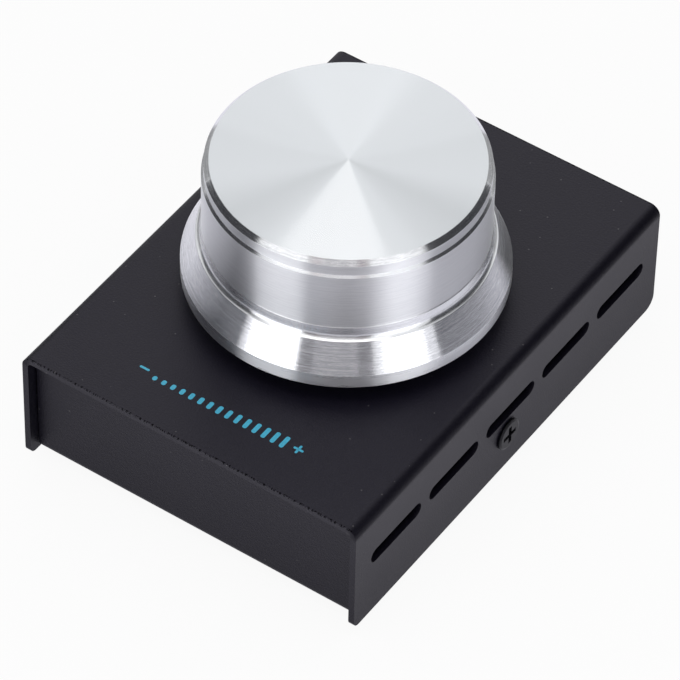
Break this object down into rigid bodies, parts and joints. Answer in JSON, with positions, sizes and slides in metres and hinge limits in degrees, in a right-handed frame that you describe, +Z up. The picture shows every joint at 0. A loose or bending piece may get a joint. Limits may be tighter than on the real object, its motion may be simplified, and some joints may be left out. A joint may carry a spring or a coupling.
{
  "type": "desk volume control",
  "caption": "Desk volume control: a large turned aluminium knob that turns and presses, on a low black folded sheet-metal case with vent slots and a rear socket.",
  "frame": {"origin": "on the desk, under the middle of the case", "axes": "+X to the right along the front panel, +Y from the front panel to the back panel, +Z up along the knob's axis"},
  "size_m": [0.0712, 0.0944, 0.0563],
  "materials": {
    "powder_coat": "black powder coat, fine texture, satin",
    "turned_aluminium": "turned, satin with fine circular lines",
    "black_screw": "black oxide, satin",
    "rubber": "matt black rubber",
    "board": "green solder mask over glass fibre",
    "brass": "bright brass",
    "plated_steel": "zinc plated",
    "die_cast_zinc": "die-cast, satin",
    "black_plastic": "black moulded plastic, satin",
    "white_plastic": "natural moulded plastic",
    "spring_steel": "bright spring steel",
    "gold_contact": "gold plated",
    "tin": "tinned, bright",
    "ceramic": "tan ceramic with tinned ends"
  },
  "bodies": {
    "housing": {"top_cover": "powder_coat", "chassis": "powder_coat", "cover_screws": "black_screw", "rubber_feet": "rubber", "circuit_board": "board", "board_standoffs": "brass", "board_screws": "plated_steel", "standoff_screws": "plated_steel", "encoder_base": "black_plastic", "encoder_bushing": "die_cast_zinc", "encoder_clip": "plated_steel", "encoder_terminals": "tin", "contact_track": "gold_contact", "detent_spring": "spring_steel", "switch_dome": "spring_steel", "bushing_washer": "plated_steel", "bushing_nut": "plated_steel", "usb_shell": "tin", "usb_insulator": "black_plastic", "usb_contacts": "gold_contact", "controller_chip": "black_plastic", "chip_leads": "tin", "crystal_can": "tin", "filter_capacitor": "tin", "ceramic_capacitors": "ceramic", "resistors": "black_plastic", "voltage_regulator": "black_plastic", "solder_joints": "tin"},
    "rotor": {"encoder_rotor": "white_plastic", "rotor_wiper": "gold_contact"},
    "knob": {"knob": "turned_aluminium", "knob_insert": "black_plastic", "encoder_shaft": "turned_aluminium", "shaft_ring": "spring_steel"}
  },
  "joints": [
    {"name": "knob_turn", "type": "hinge", "parent": "housing", "child": "rotor", "pos_m": [0, 0, 0.0216], "axis": [0, 0, 1], "continuous": true},
    {"name": "knob_press", "type": "slide", "parent": "rotor", "child": "knob", "axis": [0, 0, -1], "range_m": [0, 0.0005], "stiffness_N_per_m": 2000, "springref_m": -0.0015, "deforming": ["switch_dome"]}
  ]
}
